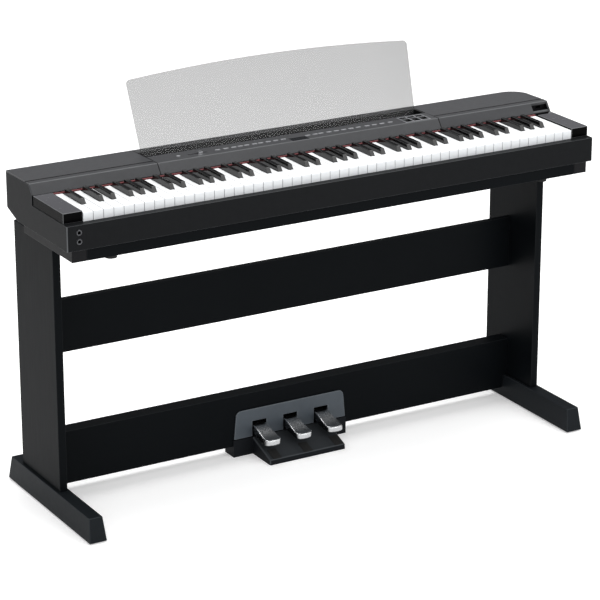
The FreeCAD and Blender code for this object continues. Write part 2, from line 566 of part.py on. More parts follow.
def make_case():
    plan, inner_plan = case_plan(), cavity_plan()
    under_top = "top_z - wall"
    profile = prism("case_profile", "YZ",
                    [("rail_front_y", "rail_low_z"), ("rail_front_y", "rail_top_z"),
                     ("slope_foot_y + wall", "rail_top_z"), ("slope_foot_y + wall", "slope_foot_z"),
                     ("ridge_y + wall / 2", under_top),
                     ("cover_groove_y + cover_groove", under_top),
                     ("rear_y - wall - notch_ease", under_top + " - rear_drop"),
                     ("rear_y", under_top + " - rear_drop"),
                     ("rear_y", "rail_low_z + heel_rise"), ("rear_y - heel_run", "rail_low_z")],
                    "-(case_half)", "case_half")
    outer = common("case_outer", [profile, plan])
    floor_z = "rail_low_z + wall"
    low_cavity = box("low_cavity", ("-(case_half) + wall", "case_half - wall"),
                     ("rail_front_y + wall", "rear_y - heel_run - wall"),
                     (floor_z, "rail_top_z - wall"))
    mid_cavity = box("mid_cavity", ("-(case_half)", "case_half"), ("0", "rear_y"),
                     ("rail_low_z + heel_rise + ledge_thick", "rail_top_z"))
    high_cavity = box("high_cavity", ("-(case_half)", "case_half"), ("slope_foot_y + 2 * wall", "rear_y"),
                      ("rail_top_z - wall", "top_z + plan_over / 2"))
    rear_room = common("rear_room", [fuse("rear_cavities", [mid_cavity, high_cavity]), inner_plan])
    keybed = box("keybed_opening", ("-(keys_half) - keybed_ease", "keys_half + keybed_ease"),
                 ("rail_front_y + rail_depth", "slope_foot_y + 2 * wall + over"),
                 ("rail_top_z - wall - over", "top_z"))
    jack_holes = [rod("jack_hole_%d" % order, "Y", ("jack_x", "rail_front_y - over",
                                                   "jack_high_z - %d * jack_pitch" % order),
                      "jack_collar + jack_clear", "wall + 2 * over") for order in (0, 1)]
    window = box("rear_window", ("-panel_half", "panel_half"), ("rear_y - wall - over", "rear_y + over"),
                 ("panel_low_z", "panel_low_z + panel_high"))
    keep(cut("lower_case", outer, [low_cavity, rear_room, keybed, window] + jack_holes), "lower_case")

    board_rear = "base_board_rear_y"
    seam = "keys_half"
    keep(box("bottom_board", ("-(%s)" % seam, seam), ("base_board_front_y", board_rear),
             ("stand_top", "rail_low_z")), "bottom_board")
    caps = [box("base_cap_" + word, mirrored(side, seam + " + base_seam", "base_cap_half"),
                ("base_board_front_y", board_rear), ("stand_top", "rail_low_z")) for word, side in ENDS]
    keep(group("bottom_end_caps", caps), "bottom_end_caps")
    feet = []
    for word, side in ENDS:
        for spot in ("front", "rear"):
            feet.append(rod("rubber_%s_%s" % (word, spot), "Z",
                            ("%d * rubber_x" % side, "rubber_%s_y" % spot, "stand_top - rubber_high"),
                            "rubber_radius", "rubber_high"))
    keep(group("rubber_feet", feet), "rubber_feet")
    screws = []
    for order in range(7):
        place = "%d * white_pitch * 7" % (order - 3)
        screws.append(rod("case_screw_%d" % order, "Z",
                          (place, "base_board_rear_y - screw_in", "stand_top - screw_high"),
                          "screw_radius", "screw_high"))
    keep(group("case_screws", screws), "case_screws")

    for word, side in ENDS:
        block = box("cheek_" + word, mirrored(side, "keys_half + cheek_gap", "cover_half"),
                    ("white_front_y", "slope_foot_y - cheek_rear_gap"),
                    ("rail_top_z", "rail_top_z + cheek_high"))
        if side > 0:
            dip = prism("cheek_dip", "XZ", [("usb_x - usb_half", "rail_top_z + cheek_high - cheek_dip"),
                                            ("usb_x - usb_half", "rail_top_z + cheek_high + over"),
                                            ("usb_x + usb_half - usb_trim", "rail_top_z + cheek_high + over"),
                                            ("usb_x + usb_half - usb_trim - dip_lean",
                                             "rail_top_z + cheek_high - cheek_dip")],
                        "-(slope_foot_y) - over", "-(slope_foot_y) + dip_deep")
            block = cut("cheek_right_block", block, [dip])
        keep(block, word + "_cheek_block")


def slope_points(rear_points):
    """The section of a front panel: its sloping face, its ridge, and what follows behind."""
    return ([("slope_foot_y", "slope_foot_z"), ("ridge_y", "top_z")] + rear_points
            + [("ridge_y + wall / 2", "top_z - wall"), ("slope_foot_y + wall", "slope_foot_z + notch_ease"),
               ("slope_foot_y + wall", "slope_foot_z")])


def make_covers(plan):
    groove_end = "cover_groove_y + cover_groove"
    for word, side in ENDS:
        span = mirrored(side, "module_half + module_gap", "cover_half")
        strip = prism(word + "_strip", "YZ",
                      slope_points([("cover_groove_y", "top_z"), ("cover_groove_y", "top_z - 2 * wall / 3"),
                                    (groove_end, "top_z - 2 * wall / 3"),
                                    (groove_end, "top_z - wall")]), *span)
        if side > 0:
            pocket = box("usb_pocket", ("usb_x - usb_half", "usb_x + usb_half - usb_trim"),
                         ("slope_foot_y + pocket_rim", "ridge_y - pocket_rim"),
                         ("slope_foot_z - over", "top_z + over"))
            strip = cut("right_strip_cut", strip, [pocket])
        keep(strip, word + "_front_panel")
        cover = prism(word + "_lid", "YZ",
                      [(groove_end, "top_z - wall"), (groove_end, "top_z"),
                       ("rear_y", "top_z - rear_drop"), ("rear_y", "top_z - rear_drop - wall"),
                       ("rear_y - wall - notch_ease", "top_z - rear_drop - wall")], *span)
        keep(common(word + "_speaker_cover", [cover, plan]), word + "_speaker_cover")


BUTTON_XS = (-198, -178, -158, -142, -126, -106, -91, -72, -53, -34,
             28, 47, 62, 83, 102, 121, 140, 159, 182, 201, 221, 243)


def pill(centre_x, centre_y, low_z, long_size, wide, high):
    """An upright rounded bar, long across X."""
    straight = long_size - wide
    start = FreeCAD.Vector(centre_x - straight / 2, centre_y - wide / 2, low_z)
    bar = Part.makeBox(straight, wide, high, start)
    for end in (-1, 1):
        centre = FreeCAD.Vector(centre_x + end * straight / 2, centre_y, low_z)
        cap = Part.makeCylinder(wide / 2, high, centre)
        bar = bar.fuse(cap)
    return bar.removeSplitter()


def make_control_panel():
    half = "module_half"
    floor_z = "top_z - recess_deep"
    section = slope_points([("recess_front_y", "top_z"), ("recess_front_y", floor_z),
                            ("recess_rear_y", floor_z), ("recess_rear_y", "top_z - rear_drop / 2"),
                            ("rear_y", "top_z - rear_drop"), ("rear_y", "top_z - rear_drop - wall"),
                            ("recess_rear_y + wall", "top_z - rear_drop - wall"),
                            ("recess_rear_y + wall", floor_z + " - wall"),
                            ("recess_front_y - wall", floor_z + " - wall"),
                            ("recess_front_y - wall", "top_z - wall")])
    shell = prism("panel_shell", "YZ", section, "-(%s)" % half, half)
    webs = [box("recess_web_" + word, mirrored(side, "recess_half", half),
                ("recess_front_y - over", "recess_rear_y + over"),
                (floor_z + " - over", "top_z - rear_drop / 2")) for word, side in ENDS]
    body = fuse("panel_body", [shell] + webs)

    z_low, high = size("top_z") - 2 * size("wall"), 4 * size("wall")
    gap = size("button_gap")
    holes = [pill(x, size("button_y"), z_low, size("button_long") + 2 * gap,
                  size("button_wide") + 2 * gap, high) for x in BUTTON_XS]
    holes.append(pill(size("volume_x"), size("button_y"), z_low, size("volume_slot"),
                      size("volume_slot_wide"), high))
    holes.append(Part.makeCylinder(size("power_radius") + gap, high,
                                   FreeCAD.Vector(size("power_x"), size("button_y"), z_low)))
    punch = made("panel_punch", Part.makeCompound(holes))
    eq_hole = box("eq_hole", ("eq_x - eq_long / 2", "eq_x + eq_long / 2"),
                  ("eq_y - eq_wide / 2", "eq_y + eq_wide / 2"), ("top_z - wall - over", "top_z + over"))
    glass_bed = box("display_bed", ("-display_half", "display_half"),
                    ("display_low_y", "display_low_y + display_deep"),
                    ("top_z - display_thick", "top_z + over"))
    keep(cut("control_panel", body, [punch, eq_hole, glass_bed]), "control_panel")
    keep(box("display_window", ("-display_half", "display_half"),
             ("display_low_y", "display_low_y + display_deep"),
             ("top_z - display_thick", "top_z + display_proud")), "display_window")

    proud, deep = size("button_proud"), size("button_deep")
    caps = [pill(x, size("button_y"), size("top_z") + proud - deep, size("button_long"),
                 size("button_wide"), deep) for x in BUTTON_XS]
    keep(made("panel_buttons", Part.makeCompound(caps)), "panel_buttons")
    keep(rod("power_button", "Z", ("power_x", "button_y", "top_z + button_proud - button_deep"),
             "power_radius", "button_deep"), "power_button")

    stem = box("volume_stem", ("volume_knob_x - volume_stem_half", "volume_knob_x + volume_stem_half"),
               ("button_y - volume_slot_wide / 2 + volume_stem_gap",
                "button_y + volume_slot_wide / 2 - volume_stem_gap"),
               ("top_z - 2 * wall", "top_z + volume_stem_half"))
    cap = box("volume_cap", ("volume_knob_x - volume_cap_half", "volume_knob_x + volume_cap_half"),
              ("button_y - volume_cap_deep", "button_y + volume_cap_deep"),
              ("top_z + volume_cap_gap", "top_z + volume_cap_high"))
    keep(fuse("volume_slider_knob", [stem, cap]), "volume_slider_knob")
    make_equaliser()


def make_equaliser():
    """A bright rim round three slider wells, with a knob in each."""
    low_x, high_x = "eq_x - eq_long / 2", "eq_x + eq_long / 2"
    low_y, high_y = "eq_y - eq_wide / 2", "eq_y + eq_wide / 2"
    inset = "0.1 * wall"
    block = box("eq_block", (low_x + " + " + inset, high_x + " - " + inset),
                (low_y + " + " + inset, high_y + " - " + inset), ("top_z - eq_floor", "top_z + eq_proud"))
    well = "(eq_long - 4 * eq_rim) / 3"
    wells, slits = [], []
    names = ("low", "mid", "high")
    for order, word in enumerate(names):
        start = low_x + " + eq_rim + %d * (%s + eq_rim)" % (order, well)
        centre = start + " + %s / 2" % well
        wells.append(box("eq_well_" + word, (start, start + " + " + well),
                         (low_y + " + eq_rim", high_y + " - eq_rim"),
                         ("top_z - eq_floor + eq_plate", "top_z + eq_proud + over")))
        slits.append(box("eq_slit_" + word, (centre + " - eq_slit / 2", centre + " + eq_slit / 2"),
                         (low_y + " + eq_rim + eq_slit_in", high_y + " - eq_rim - eq_slit_in"),
                         ("top_z - eq_floor - over", "top_z")))
        cap = box("eq_cap_" + word,
                  (start + " + eq_knob_side_gap", start + " + %s - eq_knob_side_gap" % well),
                  ("eq_knob_y - eq_knob_depth / 2", "eq_knob_y + eq_knob_depth / 2"),
                  ("top_z - eq_floor + eq_plate + eq_knob_lift",
                   "top_z - eq_floor + eq_plate + eq_knob_lift + eq_knob_high"))
        stem = rod("eq_stem_" + word, "Z", (centre, "eq_knob_y", "top_z - eq_floor - eq_slit_in"),
                   "stem_radius", "eq_floor")
        keep(fuse(word + "_tone_knob", [cap, stem]), word + "_tone_knob")
    keep(cut("slider_frame", block, wells + slits), "slider_frame")


def make_music_rest():
    """A clear sheet with an arched top, standing in the recess and leaning back."""
    vector = FreeCAD.Vector
    base, top, long_side = size("rest_half_base"), size("rest_half_top"), size("rest_long")
    corner, arch = size("rest_corner"), size("rest_arch")
    side_top = long_side - corner
    shift = (top - base) / long_side
    rim_at = base + shift * side_top
    left_arc_end, right_arc_end = vector(-top + corner, long_side, 0), vector(top - corner, long_side, 0)
    rim = [Part.makeLine(vector(-base, 0, 0), vector(base, 0, 0)),
           Part.makeLine(vector(base, 0, 0), vector(rim_at, side_top, 0)),
           Part.Arc(vector(rim_at, side_top, 0), vector(top - 0.3 * corner, long_side - 0.3 * corner, 0),
                    right_arc_end).toShape(),
           Part.Arc(right_arc_end, vector(0, long_side + arch, 0), left_arc_end).toShape(),
           Part.Arc(left_arc_end, vector(-top + 0.3 * corner, long_side - 0.3 * corner, 0),
                    vector(-rim_at, side_top, 0)).toShape(),
           Part.makeLine(vector(-rim_at, side_top, 0), vector(-base, 0, 0))]
    sheet_solid = Part.Face(Part.Wire(rim)).extrude(vector(0, 0, size("rest_thick")))
    rest = made("music_rest", sheet_solid)
    tilt = size("rest_tilt")
    lift = size("top_z") - size("recess_deep") + size("rest_foot_gap")
    lean = math.tan(math.radians(tilt))
    back = size("recess_rear_y") - size("rest_back_gap") - size("recess_deep") * lean
    rest.Placement = FreeCAD.Placement(vector(0, back, lift), FreeCAD.Rotation(vector(1, 0, 0), 90 - tilt))
    keep(rest, "music_rest")


# ---------------------------------------------------------------- keyboard
WHITE_NAMES = "ABCDEFG"
BLACK_SHIFT = {"A": 3.36, "C": -2.35, "D": 2.35, "F": -3.36, "G": 0.0}
WHITE_COUNT = 52


def upright_prism(points, low_z, high_z):
    corners = [FreeCAD.Vector(x, y, low_z) for x, y in points]
    wire = Part.makePolygon(corners + [corners[0]])
    return Part.Face(wire).extrude(FreeCAD.Vector(0, 0, high_z - low_z))


def white_left(index):
    return (index - WHITE_COUNT / 2) * size("white_pitch")


def black_centre(index):
    """The X of the black key after a white key, or None where there is none."""
    name = WHITE_NAMES[index % 7]
    if name not in BLACK_SHIFT or not 0 <= index < WHITE_COUNT - 1:
        return None
    return white_left(index + 1) + BLACK_SHIFT[name]


def white_key(index):
    gap, slot = size("key_gap") / 2, size("black_slot") / 2
    front, rear = size("white_front_y"), size("key_rear_y")
    step = front + size("white_head")
    left, right = white_left(index) + gap, white_left(index + 1) - gap
    before, after = black_centre(index - 1), black_centre(index)
    tail_left = left if before is None else max(left, before + slot)
    tail_right = right if after is None else min(right, after - slot)
    points = [(left, front), (right, front), (right, step), (tail_right, step), (tail_right, rear),
              (tail_left, rear), (tail_left, step), (left, step)]
    tidy = [point for order, point in enumerate(points) if point != points[order - 1]]
    top = size("white_top_z")
    slab = upright_prism(tidy, top - size("tail_high"), top)
    head = Part.makeBox(right - left, step - front, size("head_high") - size("tail_high"),
                        FreeCAD.Vector(left, front, top - size("head_high")))
    return slab.fuse(head).removeSplitter().Solids[0]


def black_key(index):
    centre = black_centre(index)
    top = size("white_top_z")
    low_half, high_half = size("black_base") / 2, size("black_top") / 2
    front, back, rear = size("black_front_y"), size("black_back_y"), size("key_rear_y")
    raked = front + size("black_rake")
    crest = top + size("black_rise")

    def ring(half, start, height):
        return Part.makePolygon([FreeCAD.Vector(centre + dx, y, height) for dx, y in
                                 ((-half, start), (half, start), (half, back), (-half, back), (-half, start))])

    cap = Part.makeLoft([ring(low_half, front, top), ring(high_half, raked, crest)], True, True)
    stick = Part.makeBox(2 * low_half, rear - front, size("tail_high"),
                         FreeCAD.Vector(centre - low_half, front, top - size("tail_high")))
    return stick.fuse(cap).removeSplitter().Solids[0]


def make_keys():
    for name in WHITE_NAMES:
        solids = [white_key(index) for index in range(WHITE_COUNT) if WHITE_NAMES[index % 7] == name]
        keep(made("keys_" + name.lower(), Part.makeCompound(solids)), "keys_" + name.lower())
    for name in sorted(BLACK_SHIFT):
        solids = [black_key(index) for index in range(WHITE_COUNT)
                  if WHITE_NAMES[index % 7] == name and black_centre(index) is not None]
        label = "keys_%s_sharp" % name.lower()
        keep(made(label, Part.makeCompound(solids)), label)


def make_key_bed():
    span = ("frame_side_gap - keys_half", "keys_half - frame_side_gap")
    floor_z = "rail_low_z + wall"
    key_low = "white_top_z - tail_high"
    plate = box("frame_plate", span, ("white_front_y + frame_front_gap", "pivot_y + riser_thick"),
                (floor_z, floor_z + " + frame_thick"))
    riser = box("frame_riser", span, ("pivot_y - riser_thick / 2", "pivot_y + riser_thick / 2"),
                (floor_z, key_low + " - rod_drop - 2 * rod_radius"))
    beam = box("frame_beam", span, ("white_front_y + beam_in", "white_front_y + beam_in + beam_depth"),
               (floor_z, "white_top_z - head_high - key_travel - beam_gap"))
    board_z = "white_top_z - contact_drop"
    front_y, back_y = "slope_foot_y - front_shelf_run", "slope_foot_y + back_shelf_run"
    shelves = [box("frame_shelf_" + word, span, (low_y, low_y + " + shelf_thick"), (floor_z, board_z))
               for word, low_y in (("front", front_y), ("back", back_y))]
    keep(fuse("key_frame", [plate, riser, beam] + shelves), "key_frame")
    keep(rod("key_pivot_rod", "X", (span[0], "pivot_y", key_low + " - rod_drop - rod_radius"), "rod_radius",
             "2 * (keys_half - frame_side_gap)"), "key_pivot_rod")
    keep(box("key_contact_board", span, (front_y + " - board_lip", back_y + " + shelf_thick + board_lip"),
             (board_z, board_z + " + board_thick")), "key_contact_board")
    keep(box("key_felt", ("-(keys_half)", "keys_half"),
             ("felt_front_y", "felt_front_y + felt_depth"),
             ("white_top_z + felt_gap", "white_top_z + felt_gap + felt_thick")), "key_felt")


# ---------------------------------------------------------------- sockets and electronics
def make_sockets():
    jacks = []
    for order in (0, 1):
        height = "jack_high_z - %d * jack_pitch" % order
        collar = rod("jack_collar_%d" % order, "Y", ("jack_x", "rail_front_y - jack_proud", height),
                     "jack_collar", "jack_long")
        bore = rod("jack_bore_%d" % order, "Y", ("jack_x", "rail_front_y - jack_proud - over", height),
                   "jack_bore", "jack_long - 2 * over")
        jacks.append(cut("jack_%d" % order, collar, [bore]))
    keep(group("headphone_jacks", jacks), "headphone_jacks")

    front = "ridge_y + wall / 2 + usb_ease"
    width = ("usb_x - usb_half - usb_lip", "usb_x + usb_half - usb_lip")
    housing = box("usb_housing", width, (front, front + " + usb_deep"),
                  ("slope_foot_z + usb_lip", "top_z - wall - usb_top_gap"))
    tray = box("usb_tray", width, ("slope_foot_y + 2 * wall + usb_ease", front),
               ("slope_foot_z + usb_lip", "slope_foot_z + usb_lip + usb_tray_thick"))
    slot = box("usb_slot", ("usb_x - usb_slot_long / 2", "usb_x + usb_slot_long / 2"),
               (front + " - over", front + " + usb_slot_deep"),
               ("slope_foot_z + usb_slot_low", "slope_foot_z + usb_slot_low + usb_slot_high"))
    keep(cut("usb_port", fuse("usb_block", [housing, tray]), [slot]), "usb_port")

    deep = "rear_y - panel_recess"
    plate = box("socket_plate", ("-panel_half - panel_lip", "panel_half + panel_lip"),
                (deep + " - panel_thick", deep),
                ("panel_low_z - panel_lip", "panel_low_z + panel_high + panel_lip"))
    middle = "panel_low_z + panel_high / 2"
    pieces, holes = [plate], []
    for word, place in (("out_left", "out_left_x"), ("out_right", "out_right_x"),
                        ("pedal", "pedal_socket_x"), ("power", "power_socket_x")):
        pieces.append(rod("socket_" + word, "Y", (place, deep + " - socket_long", middle), "jack_collar",
                          "socket_long + panel_thick"))
        holes.append(rod("socket_bore_" + word, "Y", (place, deep + " - socket_deep", middle), "jack_bore",
                         "socket_long + 2 * panel_thick"))
    holes.append(box("data_slot", ("data_x - data_half", "data_x + data_half"),
                     (deep + " - data_deep", deep + " + over"),
                     (middle + " - data_half_high", middle + " + data_half_high")))
    keep(cut("rear_jack_panel", fuse("socket_body", pieces), holes), "rear_jack_panel")

    cones = []
    for word, side in ENDS:
        place = "%d * speaker_x" % side
        cone = doc.addObject("Part::Cone", "cone_" + word)
        bind(cone, "Radius1", "speaker_radius * 0.5")
        bind(cone, "Radius2", "speaker_radius")
        bind(cone, "Height", "cone_high")
        rim = rod("speaker_rim_" + word, "Z", (place, "speaker_y", "top_z - wall - rear_drop - rim_drop"),
                  "speaker_radius + rim_lip", "rim_thick")
        magnet = rod("magnet_" + word, "Z", (place, "speaker_y", "top_z - wall - rear_drop - magnet_drop"),
                     "speaker_radius * 0.6", "magnet_high")
        bind(cone, "Placement.Base.x", place)
        bind(cone, "Placement.Base.y", "speaker_y")
        bind(cone, "Placement.Base.z", "top_z - wall - rear_drop - rim_drop - cone_high")
        cones.append(fuse("speaker_" + word, [cone, rim, magnet]))
    keep(group("loudspeakers", cones), "loudspeakers")

    ledge = "rail_low_z + heel_rise + ledge_thick"
    lanes = ("rear_y - heel_run", "rear_y - heel_run + board_depth")
    board_low = ledge + " + post_high"
    board = box("circuit_board", ("-circuit_half", "circuit_half"), lanes,
                (board_low, board_low + " + board_thick"))
    chips = [box("chip_%d" % order, ("%d * chip_pitch - chip_start" % order,
                                     "%d * chip_pitch - chip_start + chip_long" % order),
                 (lanes[0] + " + post_wide + ledge_thick", lanes[0] + " + post_pitch"),
                 (board_low, board_low + " + chip_high")) for order in range(5)]
    posts = [box("post_%d_%d" % (end, back), ("%d * post_x - post_wide / 2" % end,
                                              "%d * post_x + post_wide / 2" % end),
                 (lanes[0] + " + %d * post_pitch" % back,
                  lanes[0] + " + %d * post_pitch + post_wide" % back),
                 (ledge, board_low + " + over")) for end in (-1, 1) for back in (0, 1)]
    keep(fuse("main_circuit_board", [board] + chips + posts), "main_circuit_board")


make_stand()
make_pedal_unit()
make_case()
make_covers(doc.getObject("case_plan"))
make_control_panel()
make_music_rest()
make_keys()
make_key_bed()
make_sockets()
doc.recompute()

# ---------------------------------------------------------------- checks and files
for thing in doc.Objects:
    if "Invalid" in thing.State or "Error" in thing.State:
        raise RuntimeError("%s did not recompute: %s" % (thing.Label, thing.State))
labels = [thing.Label for thing in sub_parts]
if len(set(labels)) != len(labels):
    raise RuntimeError("two sub-parts share a label")
for thing in sub_parts:
    if thing.Shape.isNull() or not thing.Shape.isValid() or not thing.Shape.Solids:
        raise RuntimeError("%s has no valid solid" % thing.Label)

os.makedirs("parts", exist_ok=True)
for thing in sub_parts:
    thing.Shape.exportStep("parts/%s.step" % thing.Label)
print(len(sub_parts), "sub-parts written")
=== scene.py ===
import bpy
import bmesh
import json
import math
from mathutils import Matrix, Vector


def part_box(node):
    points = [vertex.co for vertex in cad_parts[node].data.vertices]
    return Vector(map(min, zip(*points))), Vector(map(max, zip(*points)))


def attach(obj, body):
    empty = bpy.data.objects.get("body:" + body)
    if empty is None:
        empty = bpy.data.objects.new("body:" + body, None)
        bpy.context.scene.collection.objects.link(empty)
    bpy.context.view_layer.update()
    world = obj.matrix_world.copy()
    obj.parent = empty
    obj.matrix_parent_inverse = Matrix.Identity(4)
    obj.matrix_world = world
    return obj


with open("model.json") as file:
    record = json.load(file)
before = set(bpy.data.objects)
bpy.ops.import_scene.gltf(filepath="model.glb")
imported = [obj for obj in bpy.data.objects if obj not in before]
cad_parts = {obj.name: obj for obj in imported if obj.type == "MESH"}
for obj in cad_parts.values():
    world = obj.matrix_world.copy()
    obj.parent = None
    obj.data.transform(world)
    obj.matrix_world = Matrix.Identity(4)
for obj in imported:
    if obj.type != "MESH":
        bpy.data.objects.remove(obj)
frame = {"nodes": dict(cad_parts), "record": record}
bpy.context.view_layer.update()
nodes = frame["nodes"]


# ------------------------------------------------------------ materials
class Look:
    """A Principled material with small helpers for its procedural detail and for its painted highlights
    and shade.
    """

    def __init__(self, name, colour, rough, specular=0.5, metal=0.0):
        self.mat = bpy.data.materials.new(name)
        self.mat.use_nodes = True
        self.tree = self.mat.node_tree
        self.shader = self.tree.nodes["Principled BSDF"]
        self.colour = (*colour, 1.0)
        self.put("Base Color", self.colour)
        self.put("Roughness", rough)
        self.put("Specular IOR Level", specular)
        self.put("Metallic", metal)
        self.coord = self.tree.nodes.new("ShaderNodeTexCoord")
        self.rough = rough

    def put(self, socket, value):
        self.shader.inputs[socket].default_value = value

    def link(self, a, b):
        self.tree.links.new(a, b)

    def noise(self, scale, detail=3.0, stretch=(1, 1, 1), rough=0.55):
        mapping = self.tree.nodes.new("ShaderNodeMapping")
        mapping.inputs["Scale"].default_value = stretch
        self.link(self.coord.outputs["Object"], mapping.inputs["Vector"])
        noise = self.tree.nodes.new("ShaderNodeTexNoise")
        noise.inputs["Scale"].default_value = scale
        noise.inputs["Detail"].default_value = detail
        noise.inputs["Roughness"].default_value = rough
        self.link(mapping.outputs["Vector"], noise.inputs["Vector"])
        return noise.outputs["Fac"]

    def ramp(self, source, low, high, start=0.3, end=0.7):
        ramp = self.tree.nodes.new("ShaderNodeValToRGB")
        ramp.color_ramp.elements[0].position = start
        ramp.color_ramp.elements[1].position = end
        ramp.color_ramp.elements[0].color = (*low, 1.0)
        ramp.color_ramp.elements[1].color = (*high, 1.0)
        self.link(source, ramp.inputs["Fac"])
        return ramp.outputs["Color"]

    def span(self, source, low, high, start=0.3, end=0.7):
        node = self.tree.nodes.new("ShaderNodeMapRange")
        node.inputs["From Min"].default_value = start
        node.inputs["From Max"].default_value = end
        node.inputs["To Min"].default_value = low
        node.inputs["To Max"].default_value = high
        self.link(source, node.inputs["Value"])
        return node.outputs["Result"]

    def mottle(self, scale, amount, stretch=(1, 1, 1)):
        low = [c * (1 - amount) for c in self.colour[:3]]
        high = [min(1.0, c * (1 + amount)) for c in self.colour[:3]]
        self.tint = self.ramp(self.noise(scale, 4.0, stretch), low, high)
        self.link(self.tint, self.shader.inputs["Base Color"])
        return self

    def vary(self, scale, spread, stretch=(1, 1, 1)):
        result = self.span(self.noise(scale, 3.0, stretch), max(0.02, self.rough - spread),
                           min(1.0, self.rough + spread))
        self.link(result, self.shader.inputs["Roughness"])
        return self

    def bump(self, scale, strength, distance, stretch=(1, 1, 1), detail=2.0):
        bump = self.tree.nodes.new("ShaderNodeBump")
        bump.inputs["Strength"].default_value = strength
        bump.inputs["Distance"].default_value = distance
        self.link(self.noise(scale, detail, stretch), bump.inputs["Height"])
        self.link(bump.outputs["Normal"], self.shader.inputs["Normal"])
        return self

    def normal(self):
        """The absolute X, Y, Z and the signed X, Y, Z of the surface's direction."""
        geometry = self.tree.nodes.new("ShaderNodeNewGeometry")
        parts = []
        for absolute in (True, False):
            source = geometry.outputs["Normal"]
            if absolute:
                node = self.tree.nodes.new("ShaderNodeVectorMath")
                node.operation = "ABSOLUTE"
                self.link(source, node.inputs[0])
                source = node.outputs[0]
            split = self.tree.nodes.new("ShaderNodeSeparateXYZ")
            self.link(source, split.inputs["Vector"])
            parts += [split.outputs[axis] for axis in "XYZ"]
        return parts

    def place(self):
        split = self.tree.nodes.new("ShaderNodeSeparateXYZ")
        self.link(self.coord.outputs["Object"], split.inputs["Vector"])
        return [split.outputs[axis] for axis in "XYZ"]

    def both(self, a, b, operation):
        node = self.tree.nodes.new("ShaderNodeMath")
        node.operation = operation
        self.link(a, node.inputs[0])
        self.link(b, node.inputs[1])
        return node.outputs[0]

    def tone(self, factor, colour):
        """Lays a colour over the base colour where the factor is one."""
        node = self.tree.nodes.new("ShaderNodeMix")
        node.data_type = "RGBA"
        self.link(factor, node.inputs[0])
        self.link(self.tint, node.inputs[6])
        node.inputs[7].default_value = (*colour, 1.0)
        self.tint = node.outputs[2]
        self.link(self.tint, self.shader.inputs["Base Color"])
        return self

    def edge_highlight(self, colour, start=0.985, end=0.90):
        """A painted highlight: a lighter tone laid on the rounded edges of a square-built piece, standing
        for the light they catch.
        """
        x, y, z = self.normal()[:3]
        flat = self.both(self.both(x, y, "MAXIMUM"), z, "MAXIMUM")
        return self.tone(self.span(flat, 0.0, 1.0, start, end), colour)

    def lane(self, axis, low, high, colour, soft=0.0004):
        """A tone of its own between two places along an axis: here painted shade in seams and in the
        recess, and a painted highlight along the ridge.
        """
        place = self.place()["XYZ".index(axis)]
        inside = self.both(self.span(place, 0.0, 1.0, low - soft, low),
                           self.span(place, 1.0, 0.0, high, high + soft), "MINIMUM")
        return self.tone(inside, colour)


def satin_plastic(name, colour, rough, specular):
    """Moulded plastic with a fine grain."""
    look = Look(name, colour, rough, specular)
    return look.mottle(60, 0.05).vary(90, 0.02).bump(2600, 0.10, 0.0002)


# places on the case that the looks, with their painted highlight and shade lanes, and the recess's shade
# lining follow
PAINTED_SHADE_BLACK = (0.002, 0.002, 0.002)
RIDGE_HIGHLIGHT_GREY = (0.105, 0.108, 0.112)
RIDGE_BACK = 0.016
RECESS_EASE = 0.0005
groove_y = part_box("left_speaker_cover")[0][1]
top_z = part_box("control_panel")[1][2]
openings = {item["name"]: item["box_m"] for item in frame["record"]["physics"]["openings"]}
recess_y = openings["music_rest_recess"][0][1] - RECESS_EASE
recess_z = openings["music_rest_recess"][0][2] - RECESS_EASE
ridge_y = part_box("left_front_panel")[0][1] + RIDGE_BACK
module_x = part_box("control_panel")[1][0]

case_top = satin_plastic("case_charcoal", (0.040, 0.041, 0.044), 0.32, 0.30)
# painted highlight: a lighter grey lane along the ridge between the front slope and the top
case_top.lane("Y", ridge_y - 0.0004, ridge_y + 0.0006, RIDGE_HIGHLIGHT_GREY, 0.0010)
# painted shade: a near-black lane in the groove in front of the speaker covers
case_top.lane("Y", groove_y - 0.0044, groove_y + 0.0010, PAINTED_SHADE_BLACK)
# painted shade: near-black lanes in the seams at the control module's two ends
for edge in (-module_x - 0.0012, module_x + 0.0012):
    case_top.lane("X", edge - 0.0008, edge + 0.0008, PAINTED_SHADE_BLACK)
panel_look = satin_plastic("panel_charcoal", (0.046, 0.047, 0.050), 0.32, 0.30)
# painted highlight: a lighter grey lane along the ridge between the front slope and the top
panel_look.lane("Y", ridge_y - 0.0004, ridge_y + 0.0006, RIDGE_HIGHLIGHT_GREY, 0.0010)
# painted shade: a near-black lane over the music rest recess
panel_look.lane("Y", recess_y - 0.0002, recess_y + 0.0422, PAINTED_SHADE_BLACK)
# painted shade: the rail and ends are the case's charcoal plastic made far darker than the top, a shaded
# copy; and a painted highlight on their rounded edges
case_rail = satin_plastic("rail_shaded_charcoal", (0.0090, 0.0096, 0.0104), 0.34, 0.03).edge_highlight((0.10, 0.105, 0.11))
cheek_look = satin_plastic("cheek_grey", (0.0016, 0.0016, 0.0018), 0.26, 0.02)
# painted light: the cheek block's upward faces laid far lighter than its near-black sides
cheek_look.tone(cheek_look.span(cheek_look.normal()[5], 0.0, 1.0, 0.90, 0.98), (0.072, 0.072, 0.078))
# painted highlight on the cheek block's rounded edges
cheek_look.edge_highlight((0.16, 0.165, 0.17))
# painted highlights on the rounded edges of the pedal cover and the pedal base
cover_blue = satin_plastic("pedal_cover_grey", (0.050, 0.061, 0.073), 0.42, 0.30).edge_highlight((0.13, 0.145, 0.16))
base_dark = satin_plastic("pedal_base_dark", (0.0085, 0.0096, 0.0114), 0.5, 0.04).edge_highlight((0.05, 0.055, 0.06))
foot_look = satin_plastic("foot_moulding", (0.0095, 0.0115, 0.0135), 0.42, 0.05)
